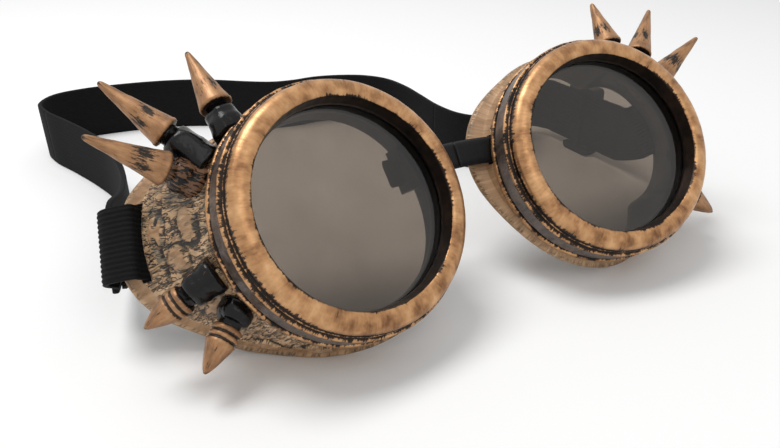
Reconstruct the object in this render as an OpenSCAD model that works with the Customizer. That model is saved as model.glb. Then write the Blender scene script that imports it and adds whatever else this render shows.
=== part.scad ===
// Steampunk goggles: two flared cups with screw-on lens caps, spikes, a nose strip and a head strap.
// Lengths are in millimetres. X runs to the right seen from the front, Y to the back, Z up.
// The origin is on the table, under the middle of the whole object. The lenses look up and to the front.

/* [Pose on the table] */
// Distance between the centres of the two lens openings
eye_spacing = 74.5; // [72:0.5:86]
// Angle by which the cups look upward, lying on their rear rims
cup_tilt = 37.3; // [32:0.1:42]
// Angle by which each cup turns in towards the nose
toe_in = 9.15; // [4:0.05:12]

/* [Lens] */
// Radius of the round lens
lens_r = 25; // [24.6:0.1:25.2]
// Thickness of the lens
lens_t = 2; // [1.4:0.1:2.4]
// Thickness of the rubber gasket behind the lens
gasket_t = 1.3; // [0.8:0.1:1.6]
// Width of the gasket ring
gasket_w = 1.6; // [1.2:0.1:2]

/* [Screw cap] */
// Radius of the opening in front of the lens
opening_r = 24; // [23.6:0.1:24.2]
// Depth of the lens behind the opening's edge
lens_depth = 3.6; // [3:0.1:4]
// Outer radius of the rounded front rim
rim_r = 28.7; // [28.5:0.1:29]
// Depth at which the rounded front rim ends
rim_end = 1.6; // [1.2:0.1:2]
// Bulge of the rounded front rim
rim_bulge = 1.3; // [0.8:0.1:1.6]
// Outer radius of the cap's grip band
band_r = 29.9; // [29.7:0.1:30.4]
// Depth at which the grip band starts
band_start = 3.8; // [3.6:0.1:4.2]
// Depth at which the cap ends
cap_end = 9.3; // [9:0.1:9.8]
// Radius of the cup's threaded collar
collar_r = 27.2; // [26.8:0.1:27.6]
// Radial clearance between the collar and the cap
thread_gap = 0.05; // [0.03:0.01:0.08]

/* [Cup] */
// Bore radius of the threaded collar
collar_bore_r = 23.8; // [23.4:0.1:24.2]
// Outer radius of the shoulder ridge behind the cap
shoulder_r = 30.4; // [30.2:0.1:31]
// Width of the shoulder ridge
shoulder_w = 1.7; // [1.4:0.1:2.2]
// How much deeper the rear rim is at its sides than at the brow and the cheek, each way
rim_dip = 4; // [3:0.1:5]
// Outer radius of the wall where it leaves the shoulder
wall_r = 29.2; // [29:0.1:29.6]
// Thickness of the flared wall
wall_t = 2.4; // [2:0.1:2.8]
// Mean depth of the rear rim
rim_depth = 23.6; // [22:0.1:25]
// How much deeper the rear rim is at the temple than at the nose, each way
rim_swing = 11.2; // [10:0.1:12]
// Radius of the rear rim's round middle part
rear_r = 31.4; // [31:0.1:33]
// Radius of the rear rim's lobe at the temple
temple_r = 21.4; // [20:0.1:22]
// Distance of the temple lobe's centre from the lens axis
temple_reach = 22.5; // [21:0.1:24]
// Radius of the rear rim's lobe at the nose
nose_r = 19; // [18:0.1:21]
// Distance of the nose lobe's centre from the lens axis
nose_reach = 16.1; // [15:0.1:17]
// Radius of the rear rim's lobe at the cheek
cheek_r = 13.4; // [12:0.1:14]
// Distance of the cheek lobe's centre from the lens axis
cheek_reach = 20; // [18.5:0.1:20.5]
// Radius of the opening inside the rear rim, apart from its temple side
inner_r = 25.4; // [25:0.1:26]
// Height of the bead along the rear rim
bead_h = 2.3; // [2:0.1:2.8]

/* [Spikes] */
// Base radius of the long spikes
spike_r = 3.8; // [3.4:0.1:4]
// Length of the long spikes
spike_len = 17.5; // [14:0.5:22]
// Base radius of the short spikes
stud_r = 3.3; // [3:0.1:3.6]
// Length of the short spikes
stud_len = 10.6; // [9:0.1:13]
// Radius of the post under a spike at its top
post_r = 3.7; // [3.4:0.1:4]
// Radius of the neck between post and spike
neck_r = 2.5; // [2.2:0.1:2.8]
// Length of the neck between post and spike
neck_len = 1.2; // [0.8:0.1:1.6]
// Radius of the shank that holds a spike in its post
shank_r = 1.5; // [1.2:0.1:1.8]
// Depth of the shank in its post
shank_len = 4; // [3:0.5:5]

/* [Nose strip] */
// Width of the strip between the cups
strip_w = 7; // [5:0.5:8]
// Thickness of the strip
strip_t = 1.5; // [1.2:0.1:1.8]
// Depth of the strip behind the lens opening
strip_depth = 12.5; // [12.4:0.1:13]
// Height of the strip above the lens axis
strip_up = 5.2; // [3:0.1:7]
// Length of the strip inside each cup
strip_tail = 6.5; // [5.5:0.5:8]
// Width of the stop that keeps the strip in a cup
stop_w = 3; // [2.4:0.1:3.4]

/* [Head strap] */
// Width of the elastic strap
strap_w = 20; // [18:0.5:21]
// Thickness of the elastic strap
strap_t = 1.6; // [1.2:0.1:1.8]
// Width of the strap where the cup's slot gathers it
fold_w = 17; // [16:0.5:18]
// Length of the strap loop's tail behind the rear rim
tail_len = 6; // [5:0.5:7]
// Width of the strap slot across the wall
slot_w = 2.8; // [2.6:0.1:3.2]
// Spare length of the strap slot
slot_spare = 1; // [0.6:0.1:1.4]
// Width of the bar between the strap slot and the rear rim
bar_w = 5.6; // [5:0.1:6]

/* [Slider] */
// Length of the slider along the strap
slider_len = 13; // [11:0.5:14]
// Width of the slider's bars
slider_bar = 2.6; // [2:0.1:3]
// Thickness of the slider's bars
slider_t = 1.4; // [1.2:0.1:2]
// Clearance between the slider and the strap
slider_gap = 0.3; // [0.2:0.05:0.4]

/* [Hidden] */
$fn = 96;
// Angle of the temple slot above the cup's horizontal line
temple_angle = 15;
nose_angle = 168;
cheek_angle = -26;
// How much less deep the rear rim is at the cheek lobe
cheek_dip = 0.86;
// Steps round the flared wall
wall_steps = 72;
wall_start = cap_end + 1.2;
shoulder_start = cap_end + 0.3;
seat_end = lens_depth + lens_t;
collar_start = seat_end + gasket_t;
lens_gap = 0.3;
// Play between the lens and its seat in the cap
seat_gap = 0.03;
// Softness of the blend between the rim's lobes and its round part
flare_blend = 2;
copper = "#b5804f";
black = "#161514";
rubber = "#1c1c1c";

// Spikes: base centre across and up from the lens axis, base depth, heading, lean to the front,
// and how much shorter a long spike is
long_spikes = [[16.6, 31.5, 14.5, 88, -13, 2], [28.3, 29, 17.5, 57, -5, 0], [32, 21, 15.5, 34, 11, 0]];
short_spikes = [[37, -5.8, 18, -18, -31], [31.2, -14.9, 17, -41, 0]];
// Depth to which a post reaches into the wall
post_root = 1.2;

// Distance from the lens axis to a circle, seen at angle a; the circle's centre is at reach and angle c
function ray_to(a, reach, c, r) =
    reach * cos(a - c) + sqrt(max(0.01, r * r - pow(reach * sin(a - c), 2)));
// A lobe's distance, or nothing on the side that faces away from it
function lobe(a, reach, c, r) = cos(a - c) > 0.17 ? ray_to(a, reach, c, r) : 0;
function soft_max(v) = flare_blend * ln(sum([for (x = v) exp(x / flare_blend)]));
function sum(v, i = 0) = i < len(v) ? v[i] + sum(v, i + 1) : 0;
// Outline of the rear rim and of the opening inside it
function rear_radius(a) = soft_max([rear_r,
    lobe(a, temple_reach, temple_angle, temple_r), lobe(a, cheek_reach, cheek_angle, cheek_r),
    lobe(a, nose_reach, nose_angle, nose_r)]);
function inner_radius(a) = soft_max([inner_r,
    lobe(a, temple_reach, temple_angle, temple_r - wall_t - 0.4)]);
function rear_depth(a) = rim_depth + rim_swing * cos(a - 11) + rim_dip * cos(2 * a)
    - cheek_dip * pow(max(0, cos(a - cheek_angle)), 2);
// Share of the flare reached at share t of the depth: straight at the temple, hollow at the nose
function flare(a, t) = pow(t, 1.15 + 0.55 * (1 - cos(a - temple_angle)));
function wall_point(a, t) = [
    wall_r + (rear_radius(a) - 0.5 - wall_r) * flare(a, t),
    wall_start + (rear_depth(a) - wall_start) * t];
// Radius of the wall's outside at angle a and the given depth
function wall_radius(a, depth) = wall_point(a, (depth - wall_start) / (rear_depth(a) - wall_start))[0];
// Length of a spike's post, from its top down into the wall
function post_len(place) = (norm([place[0], place[1]]) + post_root
    - wall_radius(atan2(place[1], place[0]), place[2])) / cos(place[4]);
function inner_point(a, t) = [
    min(inner_radius(a), wall_point(a, t)[0] - wall_t), wall_point(a, t)[1]];
// Section of the cup's wall at angle a, as [radius, depth] pairs from the front round the rear rim
function wall_section(a) = let (r = rear_radius(a), d = rear_depth(a)) [
    [collar_bore_r + 0.5, wall_start], [wall_r, wall_start],
    wall_point(a, 0.2), wall_point(a, 0.4), wall_point(a, 0.6), wall_point(a, 0.78),
    [wall_point(a, 1 - bead_h / (d - wall_start))[0], d - bead_h - 0.4],
    [r - 0.1, d - bead_h + 0.3], [r + 0.2, d - bead_h / 2], [r - 0.1, d - 0.4], [r - 0.8, d],
    [inner_radius(a) + 0.8, d], [inner_radius(a), d - 0.8],
    inner_point(a, 0.72), inner_point(a, 0.45), inner_point(a, 0.2)];
rear_edge = [for (i = [0:wall_steps - 1], p = wall_section(i * 360 / wall_steps))
    p[0] * sin(i * 360 / wall_steps) * cos(cup_tilt) - p[1] * sin(cup_tilt)];
eye_height = -min(rear_edge);

// Place of the lens openings' centres, to the front of the origin
eye_y = -79;
// Directions of a cup in the frame of the whole object: to the temple, up and out of the lens
function temple_dir(side) = [side * cos(toe_in), -sin(toe_in), 0];
function up_dir(side) = [side * sin(cup_tilt) * sin(toe_in), sin(cup_tilt) * cos(toe_in), cos(cup_tilt)];
function out_dir(side) = [-side * cos(cup_tilt) * sin(toe_in), -cos(cup_tilt) * cos(toe_in), sin(cup_tilt)];
function cup_point(side, x, y, depth) = [side * eye_spacing / 2, eye_y, eye_height]
    + x * temple_dir(side) + y * up_dir(side) - depth * out_dir(side);

function unit(v) = v / norm(v);
// Points on a smooth curve through the given points, with n steps between each two
function curve(p, n) = [for (i = [0:len(p) - 2], k = [0:n - 1])
    let (t = k / n, a = p[max(i - 1, 0)], b = p[i], c = p[i + 1], d = p[min(i + 2, len(p) - 1)])
    b + t * (c - a) / 2 + t * t * (a - 2.5 * b + 2 * c - d / 2) + t * t * t * (-a + 3 * b - 3 * c + d) / 2,
    p[len(p) - 1]];
function heading(p, i) = unit(p[min(i + 1, len(p) - 1)] - p[max(i - 1, 0)]);

// The nose strip: points in the left cup, then one half of the bend between the noses
strip_bend = cup_point(-1, -31, strip_up, strip_depth);
strip_top = strip_bend - temple_dir(-1) * (strip_bend[0] / temple_dir(-1)[0]);
function strip_arc(t) = pow(1 - t, 2) * strip_bend + 2 * t * (1 - t) * strip_top
    + t * t * [-strip_bend[0], strip_bend[1], strip_bend[2]];
strip_half = concat(
    [for (x = [strip_tail - collar_bore_r, -24, -28]) cup_point(-1, x, strip_up, strip_depth)],
    [for (k = [0:3]) strip_arc(k / 8)]);

// Loop of the strap round the bar at the temple, as distances from the lens axis and depths
loop_rim = [rear_radius(temple_angle), rear_depth(temple_angle)];
loop_wall = unit(loop_rim - wall_point(temple_angle, 0.8));
loop_out = [loop_wall[1], -loop_wall[0]];
loop_slot = loop_rim - loop_wall * (bar_w + slot_w / 2);
tail_x = loop_rim[0] - 0.4;
tail_depth = loop_rim[1] + tail_len;
loop_path = curve([
    [tail_x, tail_depth], [tail_x + 0.2, tail_depth - 2], loop_rim + [1.3, 2.8], loop_rim + [2.6, 0.6],
    loop_rim + [2.7, -1.9], loop_rim + [1.5, -4.2], loop_slot + loop_out * 2.4,
    loop_slot + loop_out * 0.6 - loop_wall * 0.1, loop_slot - loop_out * 1.6,
    loop_slot - loop_out * 4 + loop_wall * 0.7, loop_slot - loop_out * 5.5 + loop_wall * 3.2,
    loop_rim - loop_wall * 1.9 - loop_out * (wall_t + 2.9), loop_rim + [-3.5, 2.3],
    [tail_x - strap_t - 0.35, tail_depth - 2], [tail_x - strap_t - 0.3, tail_depth]], 3);

function tail_point(side, depth) = cup_point(side, tail_x * cos(temple_angle), tail_x * sin(temple_angle), depth);
function tail_wide(side) = cos(temple_angle) * up_dir(side) - sin(temple_angle) * temple_dir(side);
// Height of the strap's middle where it stands on the table, and where the slider holds it up
strap_mid = strap_w / 2;
slider_mid = strap_mid + slider_gap + slider_bar;
slider_x = 90;
slider_y = 66;

// Route of the strap on the table, from the cup on the left round the back to the cup on the right:
// places across and back from the lens openings, and how far the strap is lifted there
slider_lift = slider_mid - strap_mid;
left_route = [[-82.9, 47, 6.8], [-78.4, 61, 3.2], [-75.6, 77, 0.7], [-74.9, 92, 0], [-76.1, 108, 0],
    [-79.9, 123, 0], [-85, 138, 0]];
back_route = [[-89.8, 151, 0], [-91, 162.5, 0], [-85, 171.5, 0], [-74, 174.3, 0], [-62, 173.8, 0],
    [-49, 171.6, 0], [-36, 167.5, 0], [-24.5, 161, 0], [-14, 153, 0], [-5, 147.4, 0], [4, 145.6, 0],
    [14, 145.8, 0], [24, 143, 0], [33, 137.5, 0], [38.8, 128.5, 0], [40.4, 116, 0], [39.8, 103, 0]];
right_route = [[39, 90, 0], [40.6, 78.6, 0], [46, 71.4, 0], [54, 70.8, 0], [63, 75.5, 0], [71, 83, 0.6],
    [78, 90, 1.8], [85.5, 91.5, slider_lift], [slider_x, 85, slider_lift], [slider_x, 82, slider_lift],
    [slider_x, 70, slider_lift], [slider_x, 58, slider_lift], [slider_x, 49, slider_lift],
    [slider_x - 0.2, 46, slider_lift + 0.3]];
strap_points = concat(
    [tail_point(-1, tail_depth), tail_point(-1, tail_depth + 2)],
    [for (p = concat(left_route, back_route, right_route)) [p[0], p[1] + eye_y, strap_mid + p[2]]],
    [tail_point(1, tail_depth + 2), tail_point(1, tail_depth)]);
strap_steps = 3;
strap_curve = curve(strap_points, strap_steps);
strap_last = len(strap_curve) - 1;
// The strap's width turns upright over its first and last few steps
turn_steps = 8;
function ease(t) = t * t * (3 - 2 * t);
function turned(side, i) = tail_wide(side) + ([0, 0, 1] - tail_wide(side)) * ease(min(1, i / turn_steps));
function spread(i) = fold_w + (strap_w - fold_w) * ease(min(1, i / turn_steps));
strap_wide = [for (i = [0:strap_last])
    unit(i < strap_last / 2 ? turned(-1, i) : turned(1, strap_last - i))];
strap_widths = [for (i = [0:strap_last]) spread(min(i, strap_last - i))];
strap_path = [for (i = [0:strap_last]) let (p = strap_curve[i])
    [p[0], p[1], max(p[2], strap_widths[i] / 2 * strap_wide[i][2])]];
strap_sections = band_sections(strap_path, strap_wide, strap_widths, strap_t);
left_cut = (2 + len(left_route)) * strap_steps;
right_cut = (2 + len(left_route) + len(back_route)) * strap_steps;

module at_cup(side) {
    mirror([side < 0 ? 1 : 0, 0, 0])
        translate([eye_spacing / 2, eye_y, eye_height])
            rotate([0, 0, -toe_in])
                rotate([90 - cup_tilt, 0, 0])
                    children();
}

// Closed skin through a stack of rings that have the same number of points, the last joined to the first
module ring_skin(rings) {
    n = len(rings);
    m = len(rings[0]);
    polyhedron(
        points = [for (r = rings, p = r) p],
        faces = [for (i = [0:n - 1], j = [0:m - 1]) let (
            a = i * m + j, b = i * m + (j + 1) % m,
            c = ((i + 1) % n) * m + j, d = ((i + 1) % n) * m + (j + 1) % m)
            each [[a, d, b], [a, c, d]]]);
}

module at_spike(place) {
    translate([place[0], place[1], -place[2]])
        rotate([0, 0, place[3]])
            rotate([0, 90 - place[4], 0])
                children();
}

module flared_wall() {
    ring_skin([for (i = [0:wall_steps - 1]) let (a = i * 360 / wall_steps)
        [for (p = wall_section(a)) [p[0] * cos(a), p[0] * sin(a), -p[1]]]]);
}

module collar() {
    rotate_extrude() polygon([
        [collar_bore_r, -collar_start], [collar_r - 0.3, -collar_start], [collar_r, -collar_start - 0.3],
        [collar_r, -shoulder_start], [shoulder_r - 0.4, -shoulder_start],
        [shoulder_r, -shoulder_start - 0.4], [shoulder_r, -shoulder_start - shoulder_w + 0.4],
        [shoulder_r - 0.6, -shoulder_start - shoulder_w],
        [collar_bore_r + 1.7, -shoulder_start - shoulder_w], [collar_bore_r, -shoulder_start - 0.4]]);
}

module spike_post(length) {
    translate([0, 0, -length]) cylinder(r1 = post_r + 0.6, r2 = post_r, h = length - neck_len);
    translate([0, 0, -neck_len - 0.2]) cylinder(r = neck_r, h = neck_len + 0.2, $fn = 32);
}

// The posts end behind the screw cap
module spike_posts() {
    difference() {
        for (s = concat(long_spikes, short_spikes)) at_spike(s) spike_post(post_len(s));
        translate([0, 0, -shoulder_start]) cylinder(r = collar_r + post_r * 3, h = shoulder_start);
    }
}

module strap_slot() {
    r = rear_radius(temple_angle);
    d = rear_depth(temple_angle);
    p = wall_point(temple_angle, 0.8);
    flare_angle = atan2(r - p[0], d - p[1]);
    rotate([0, 0, temple_angle])
        translate([r, 0, -d])
            rotate([0, -flare_angle, 0])
                translate([-8, -(fold_w + slot_spare) / 2, bar_w])
                    cube([16, fold_w + slot_spare, slot_w]);
}

module strip_slot() {
    translate([-wall_r - 8, strip_up - strip_w / 2 - 0.4, -strip_depth - strip_t / 2 - 0.3])
        cube([14, strip_w + 0.8, strip_t + 0.6]);
}

module cup(side) {
    color(copper) at_cup(side) difference() {
        union() {
            flared_wall();
            collar();
            spike_posts();
        }
        for (s = concat(long_spikes, short_spikes)) at_spike(s)
            translate([0, 0, -shank_len - neck_len]) cylinder(r = shank_r + 0.03, h = shank_len + neck_len + 1);
        strap_slot();
        strip_slot();
    }
}

module cap(side) {
    rim_mid = (opening_r + rim_r) / 2;
    rim_half = (rim_r - opening_r) / 2;
    color(copper) at_cup(side) rotate_extrude() polygon(concat(
        [for (a = [0:15:180]) [rim_mid - rim_half * cos(a), rim_bulge * sin(a) - rim_end * a / 180]],
        [
            [rim_r + 0.1, -rim_end - 0.9], [rim_r + 0.35, -rim_end - 1.1], [rim_r + 0.35, -rim_end - 1.5],
            [rim_r - 0.2, -rim_end - 1.65], [rim_r - 0.2, -band_start + 0.2],
            [band_r - 0.25, -band_start], [band_r, -band_start - 0.3], [band_r, -cap_end + 0.3],
            [band_r - 0.3, -cap_end], [collar_r + thread_gap, -cap_end],
            [collar_r + thread_gap, -collar_start + 0.2], [lens_r + lens_gap, -collar_start + 0.2],
            [lens_r + lens_gap, -lens_depth], [opening_r - 0.6, -lens_depth]
        ]));
}

module lens(side) {
    color([0.2, 0.17, 0.15, 0.6]) at_cup(side) translate([0, 0, -seat_end]) cylinder(r = lens_r, h = lens_t - seat_gap);
}

module gasket(side) {
    color(rubber) at_cup(side) translate([0, 0, -collar_start]) difference() {
        cylinder(r = lens_r, h = gasket_t);
        translate([0, 0, -1]) cylinder(r = lens_r - gasket_w, h = gasket_t + 2);
    }
}

// A shank below the base at height 0, hidden in the post and its neck
function shank_points() = [
    [shank_r, 0], [shank_r, -neck_len - shank_len + 0.5], [shank_r - 0.3, -neck_len - shank_len + 0.2],
    [0, -neck_len - shank_len + 0.2]];

module long_spike(side, i) {
    length = spike_len - long_spikes[i][5];
    color(copper) at_cup(side) at_spike(long_spikes[i]) rotate_extrude($fn = 48) polygon(concat(
        [[0, length], [0.4, length - 0.12], [0.75, length - 0.7], [spike_r - 0.25, 1.4],
            [spike_r, 0.6], [spike_r - 0.25, 0]],
        shank_points()));
}

module short_spike(side, i) {
    // Height at which the rings end and the pointed tip starts
    tip_start = 3.6;
    tip_len = stud_len - tip_start;
    color(copper) at_cup(side) at_spike(short_spikes[i]) rotate_extrude($fn = 48) polygon(concat(
        [[0, stud_len], [0.35, stud_len - 0.1]],
        [for (t = [0.88:-0.11:0]) [(stud_r - 0.05) * pow(1 - t, 0.8) + 0.3 * t, tip_start + tip_len * t]],
        [
            [stud_r - 0.4, 3.2], [stud_r - 0.4, 2.8], [stud_r, 2.6], [stud_r, 1.9], [stud_r - 0.4, 1.7],
            [stud_r - 0.4, 1.3], [stud_r, 1.1], [stud_r, 0.3], [stud_r - 0.3, 0]
        ],
        shank_points()));
}

// Four-cornered sections of a flat band along path, wide along the matching vectors of wide
function band_sections(path, wide, widths, thickness) = [for (i = [0:len(path) - 1])
    let (w = unit(wide[i]), u = w * widths[i] / 2, v = unit(cross(heading(path, i), w)) * thickness / 2)
    [path[i] - u - v, path[i] + u - v, path[i] + u + v, path[i] - u + v]];

// Closed skin through a stack of four-cornered sections, flat at both ends
module band(sections) {
    n = len(sections);
    polyhedron(
        points = [for (r = sections, p = r) p],
        faces = concat(
            [[0, 1, 2], [0, 2, 3]],
            [for (i = [0:n - 2], j = [0:3]) let (
                a = i * 4 + j, b = i * 4 + (j + 1) % 4, c = a + 4, d = b + 4)
                each [[a, d, b], [a, c, d]]],
            [[n * 4 - 4, n * 4 - 2, n * 4 - 3], [n * 4 - 4, n * 4 - 1, n * 4 - 2]]));
}

function mirrored(p) = [-p[0], p[1], p[2]];

module bridge_strip() {
    path = concat(strip_half, [strip_arc(0.5)],
        [for (i = [len(strip_half) - 1:-1:0]) mirrored(strip_half[i])]);
    wide = [for (p = path) let (s = max(-1, min(1, p[0] / strip_bend[0])))
        [-up_dir(1)[0] * s, up_dir(1)[1], up_dir(1)[2]]];
    color(black) band(band_sections(path, wide, [for (p = path) strip_w], strip_t));
}

module bridge_stop(side) {
    color(black) at_cup(side) difference() {
        intersection() {
            translate([-collar_bore_r, strip_up - strip_w / 2 - 2, -strip_depth - 2.6])
                cube([stop_w, strip_w + 4, 5.2]);
            translate([0, 0, -strip_depth - 4]) cylinder(r = collar_bore_r - 0.15, h = 8);
        }
        translate([-collar_bore_r - 1, strip_up - strip_w / 2 - 0.1, -strip_depth - strip_t / 2 - 0.1])
            cube([stop_w + 2, strip_w + 0.2, strip_t + 0.2]);
    }
}

// Outline of a band of the given thickness along a flat path
function band_outline(p, t) = concat(
    [for (i = [0:len(p) - 1]) let (h = heading(p, i)) p[i] + t / 2 * [-h[1], h[0]]],
    [for (i = [len(p) - 1:-1:0]) let (h = heading(p, i)) p[i] - t / 2 * [-h[1], h[0]]]);

module strap_end(side) {
    color(black) at_cup(side) rotate([0, 0, temple_angle]) rotate([90, 0, 0])
        linear_extrude(height = fold_w, center = true)
            polygon([for (p = band_outline(loop_path, strap_t)) [p[0], -p[1]]]);
}

module strap_run(first, last) {
    color(black) band([for (i = [first:last]) strap_sections[i]]);
}

module slider_plate(length, height, thickness, corner) {
    rotate([90, 0, 90]) translate([0, 0, -thickness / 2]) linear_extrude(thickness)
        hull() for (x = [-1, 1], y = [-1, 1])
            translate([x * (length / 2 - corner), y * (height / 2 - corner)]) circle(r = corner, $fn = 24);
}

// Frame with two end bars outside the strap and a middle bar inside it
module strap_slider() {
    passage = strap_t + 2 * slider_gap;
    window = strap_w + 2 * slider_gap;
    depth = passage + 2 * slider_t;
    color(black) translate([slider_x, slider_y + eye_y, slider_mid]) difference() {
        slider_plate(slider_len, window + 2 * slider_bar, depth, 1.6);
        cube([passage, slider_len + 2, window], center = true);
        translate([depth / 2, 0, 0]) cube([depth, slider_len - 2 * slider_bar, window], center = true);
        for (s = [-1, 1]) translate([-depth / 2, s * (slider_len + slider_bar) / 4 + s * 1, 0])
            cube([depth, (slider_len - slider_bar) / 2 + 2, window], center = true);
    }
}

cup(-1);  // left_cup
cup(1);  // right_cup
cap(-1);  // left_cap
cap(1);  // right_cap
lens(-1);  // left_lens
lens(1);  // right_lens
gasket(-1);  // left_gasket
gasket(1);  // right_gasket
long_spike(-1, 0);  // left_spike_top
long_spike(-1, 1);  // left_spike_upper
long_spike(-1, 2);  // left_spike_side
short_spike(-1, 0);  // left_stud_upper
short_spike(-1, 1);  // left_stud_lower
long_spike(1, 0);  // right_spike_top
long_spike(1, 1);  // right_spike_upper
long_spike(1, 2);  // right_spike_side
short_spike(1, 0);  // right_stud_upper
short_spike(1, 1);  // right_stud_lower
bridge_strip();
bridge_stop(-1);  // left_bridge_stop
bridge_stop(1);  // right_bridge_stop
strap_end(-1);  // left_strap_end
strap_end(1);  // right_strap_end
strap_run(0, left_cut);  // left_strap_run
strap_run(left_cut, right_cut);  // back_strap_run
strap_run(right_cut, strap_last);  // right_strap_run
strap_slider();
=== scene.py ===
"""Looks of the goggles: camera, light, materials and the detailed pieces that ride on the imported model.

Lengths in the shape code are millimetres and are turned into metres when a mesh is made.
A cup's own coordinates are x to the temple, y up and z out of the lens, from the centre of the
lens opening. Depths are measured from there towards the face, so z is minus the depth.
"""

import math

import bmesh
import bpy
import numpy as np
from mathutils import Matrix, Vector, noise


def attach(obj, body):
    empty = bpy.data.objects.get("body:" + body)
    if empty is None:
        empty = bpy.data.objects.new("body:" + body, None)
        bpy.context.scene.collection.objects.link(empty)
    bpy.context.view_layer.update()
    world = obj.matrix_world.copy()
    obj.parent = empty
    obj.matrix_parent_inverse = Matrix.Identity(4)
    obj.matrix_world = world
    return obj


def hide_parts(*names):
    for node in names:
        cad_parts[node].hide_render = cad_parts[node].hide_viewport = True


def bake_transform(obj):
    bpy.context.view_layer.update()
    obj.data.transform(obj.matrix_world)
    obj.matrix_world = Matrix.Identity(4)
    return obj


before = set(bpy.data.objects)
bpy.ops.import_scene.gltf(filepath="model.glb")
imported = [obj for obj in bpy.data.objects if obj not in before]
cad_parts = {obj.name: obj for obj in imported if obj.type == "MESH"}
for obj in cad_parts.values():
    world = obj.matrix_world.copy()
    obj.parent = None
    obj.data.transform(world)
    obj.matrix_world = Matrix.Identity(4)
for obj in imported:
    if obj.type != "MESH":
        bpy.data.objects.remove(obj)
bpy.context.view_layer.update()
MM = 0.001

# ---------------------------------------------------------------- sizes, as in the part's source
EYE_SPACING = 74.5
TILT, TOE = math.radians(37.3), math.radians(9.15)
EYE_Y, EYE_HEIGHT = -79.0, 36.3987
OPENING_R, LENS_DEPTH, RIM_R, RIM_END, RIM_BULGE = 24.0, 3.6, 28.7, 1.6, 1.3
BAND_R, BAND_START, CAP_END = 29.9, 3.8, 9.3
COLLAR_R, COLLAR_BORE, COLLAR_START, THREAD_GAP = 27.2, 23.8, 6.9, 0.05
LENS_SEAT_R = 25.3
SHOULDER_R, SHOULDER_W, SHOULDER_START = 30.4, 1.7, 9.6
WALL_START, WALL_R, WALL_T = 10.5, 29.2, 2.4
RIM_DEPTH, RIM_SWING, RIM_DIP, BEAD_H = 23.6, 11.2, 4.0, 2.3
REAR_R, TEMPLE_R, TEMPLE_REACH, NOSE_R, NOSE_REACH, INNER_R = 31.4, 21.4, 22.5, 19.0, 16.1, 25.4
TEMPLE_ANGLE, NOSE_ANGLE, RIM_SWING_ANGLE, FLARE_BLEND = 15.0, 168.0, 11.0, 2.0
CHEEK_R, CHEEK_REACH, CHEEK_ANGLE, CHEEK_DIP = 13.4, 20.0, -26.0, 0.86
BAR_W, SLOT_W, FOLD_W, SLOT_SPARE = 5.6, 2.8, 17.0, 1.0
STRAP_W, STRAP_T, TAIL_LEN = 20.0, 1.6, 6.0
STRIP_W, STRIP_T, STRIP_DEPTH, STRIP_UP, STRIP_TAIL = 7.0, 1.5, 12.5, 5.2, 6.5
SPIKE_R, SPIKE_LEN, STUD_R, STUD_LEN = 3.8, 17.5, 3.3, 10.6
POST_R, NECK_R, NECK_LEN = 3.7, 2.5, 1.2
# Places of the spikes: across, up, depth, heading, lean to the front, and by how much the spike is shorter
LONG_SPIKES = {
    "spike_top": (16.6, 31.5, 14.5, 88, -13, 2),
    "spike_upper": (28.3, 29, 17.5, 57, -5, 0),
    "spike_side": (32, 21, 15.5, 34, 11, 0),
}
SHORT_SPIKES = {"stud_upper": (37, -5.8, 18, -18, -31), "stud_lower": (31.2, -14.9, 17, -41, 0)}
SIDES = {"left": -1, "right": 1}

# ---------------------------------------------------------------- looks that the part's source leaves open
# Thread cut into the collar behind the cap
THREAD_PITCH, THREAD_GROOVE = 1.6, 0.35
# Steps round a cup's wall and along its outside, round the collar, the cap, a spike and a post
WALL_STEPS, OUTSIDE_STEPS, COLLAR_STEPS, CAP_STEPS, SPIKE_STEPS, POST_STEPS = 600, 64, 180, 300, 72, 36
# Radii on which the texture coordinates of the wall, the collar and the posts are wrapped
WALL_GRAIN_R, COLLAR_GRAIN_R, POST_GRAIN_R = 32, 30, 4
# Play round the nose strip in its slot, and the reach of the blocks that cut the two slots
STRIP_SPARE_W, STRIP_SPARE_T = 0.8, 0.6
STRAP_CUT, STRIP_CUT = 16, 14
# Ribs along the strap, and their depth on the runs and on the loops
STRAP_RIBS, RUN_RIB_DEPTH, LOOP_RIB_DEPTH = 15, 0.05, 0.22


def cos(a):
    """Cosine of an angle in degrees."""
    return math.cos(math.radians(a))


def sin(a):
    """Sine of an angle in degrees."""
    return math.sin(math.radians(a))


def cup_matrix(side):
    """From a cup's own millimetres to the row frame's millimetres; the left cup is a mirror image."""
    temple = Vector((side * math.cos(TOE), -math.sin(TOE), 0))
    up = Vector((side * math.sin(TILT) * math.sin(TOE), math.sin(TILT) * math.cos(TOE), math.cos(TILT)))
    out = Vector((-side * math.cos(TILT) * math.sin(TOE), -math.cos(TILT) * math.cos(TOE), math.sin(TILT)))
    m = Matrix((temple, up, out)).transposed().to_4x4()
    m.translation = Vector((side * EYE_SPACING / 2, EYE_Y, EYE_HEIGHT))
    return m


CUP = {name: cup_matrix(side) for name, side in SIDES.items()}


def spike_matrix(name, place):
    """From a spike's own millimetres, z along the spike from its base, to the row frame's."""
    m = Matrix.Translation((place[0], place[1], -place[2]))
    m = m @ Matrix.Rotation(math.radians(place[3]), 4, "Z")
    m = m @ Matrix.Rotation(math.radians(90 - place[4]), 4, "Y")
    return CUP[name] @ m


# ---------------------------------------------------------------- mesh building
def ease(t):
    """A smooth step from 0 at 0 to 1 at 1."""
    t = max(0.0, min(1.0, t))
    return t * t * (3 - 2 * t)


def bump_shape(d):
    """1 at 0, falling smoothly to 0 at 1."""
    return ease(1 - d)


def wobble(x, y, z, seed=0.0):
    """Smooth noise of about -1 to 1 that is the same in every run."""
    return noise.noise(Vector((x, y, z + seed)))


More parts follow.
